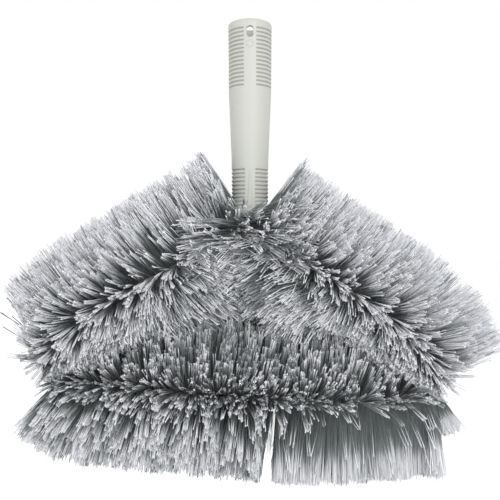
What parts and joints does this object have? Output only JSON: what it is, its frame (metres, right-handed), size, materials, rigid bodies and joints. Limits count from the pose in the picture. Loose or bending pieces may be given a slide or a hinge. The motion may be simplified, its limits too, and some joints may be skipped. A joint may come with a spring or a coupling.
{
  "type": "ceiling fan duster",
  "caption": "Triangular loop of twisted-wire brush on a tapered socket handle, for dusting both faces of a ceiling fan blade from an extension pole.",
  "frame": {"origin": "centre of the handle's open mouth, in the plane of its rim", "axes": "+Z along the handle and out of its mouth, towards the pole; +X across the brush loop, to the right as pictured; -Y out of the face that the picture shows"},
  "size_m": [0.3639, 0.122, 0.3462],
  "materials": {
    "handle_plastic": "off-white moulded plastic, satin",
    "plug_plastic": "grey moulded plastic",
    "crimp_metal": "plain, pressed",
    "stem_steel": "galvanised wire",
    "filaments": "dark grey filaments with pale flagged tips"
  },
  "bodies": {
    "root": {"handle_shell": "handle_plastic", "wire_anchor_plug": "plug_plastic", "crimp_sleeve": "crimp_metal", "stem_wire_a": "stem_steel", "stem_wire_b": "stem_steel", "left_arm_upper_bristles": "filaments", "left_arm_lower_bristles": "filaments", "left_corner_bristles": "filaments", "base_left_bristles": "filaments", "base_right_bristles": "filaments", "right_corner_bristles": "filaments", "right_arm_lower_bristles": "filaments", "right_arm_upper_bristles": "filaments"}
  },
  "joints": []
}
